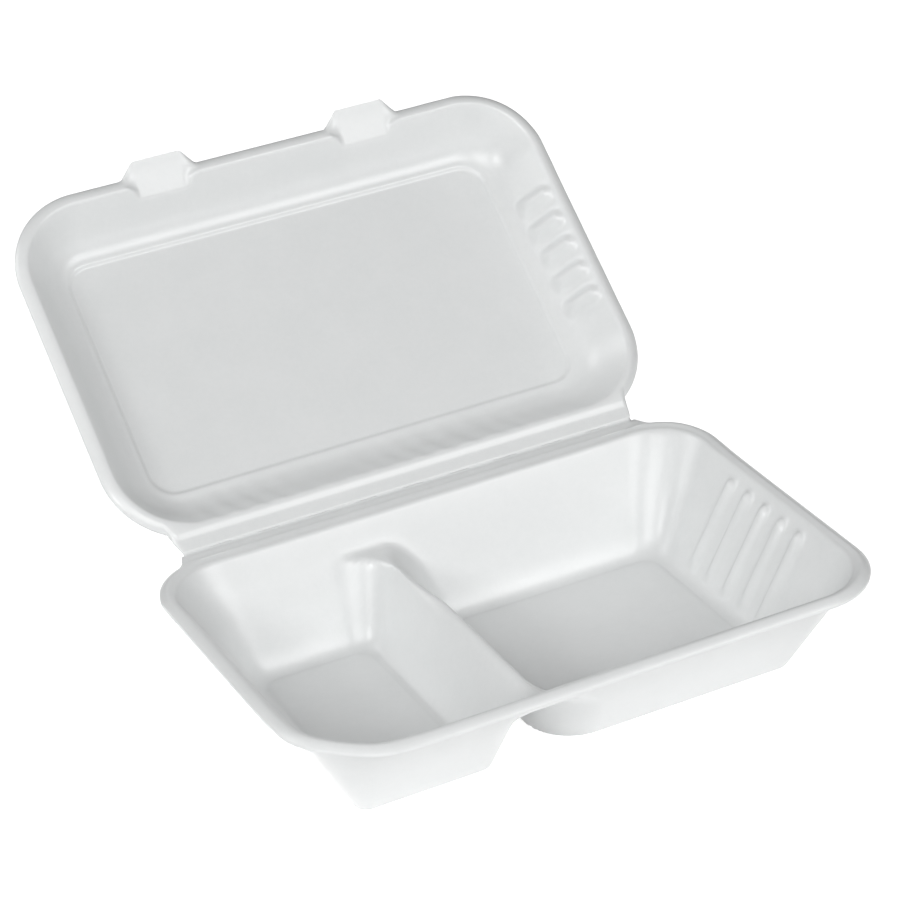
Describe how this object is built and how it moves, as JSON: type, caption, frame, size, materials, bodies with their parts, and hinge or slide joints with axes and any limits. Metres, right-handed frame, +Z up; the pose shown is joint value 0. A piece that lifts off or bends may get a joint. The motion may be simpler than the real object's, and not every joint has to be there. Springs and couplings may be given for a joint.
{
  "type": "clamshell food container",
  "caption": "Thin moulded take-away food container with two compartments, a shallow lid on a folded hinge strip and closing tabs on the lid's front edge.",
  "frame": {"origin": "centre of the tray's plan, on the surface that its feet stand on", "axes": "+X along the fold line towards the end with the ribs, +Y from the front edge to the fold line, +Z up"},
  "size_m": [0.25, 0.3044, 0.1563],
  "materials": {
    "moulded_shell": "matt white, pressed fine-grained sheet"
  },
  "bodies": {
    "tray": {"tray": "moulded_shell"},
    "lid": {"lid": "moulded_shell"}
  },
  "joints": [
    {"name": "lid_fold", "type": "hinge", "parent": "tray", "child": "lid", "pos_m": [0, 0.088, 0.04565], "axis": [1, 0, 0], "range_deg": [-39, 141]}
  ]
}
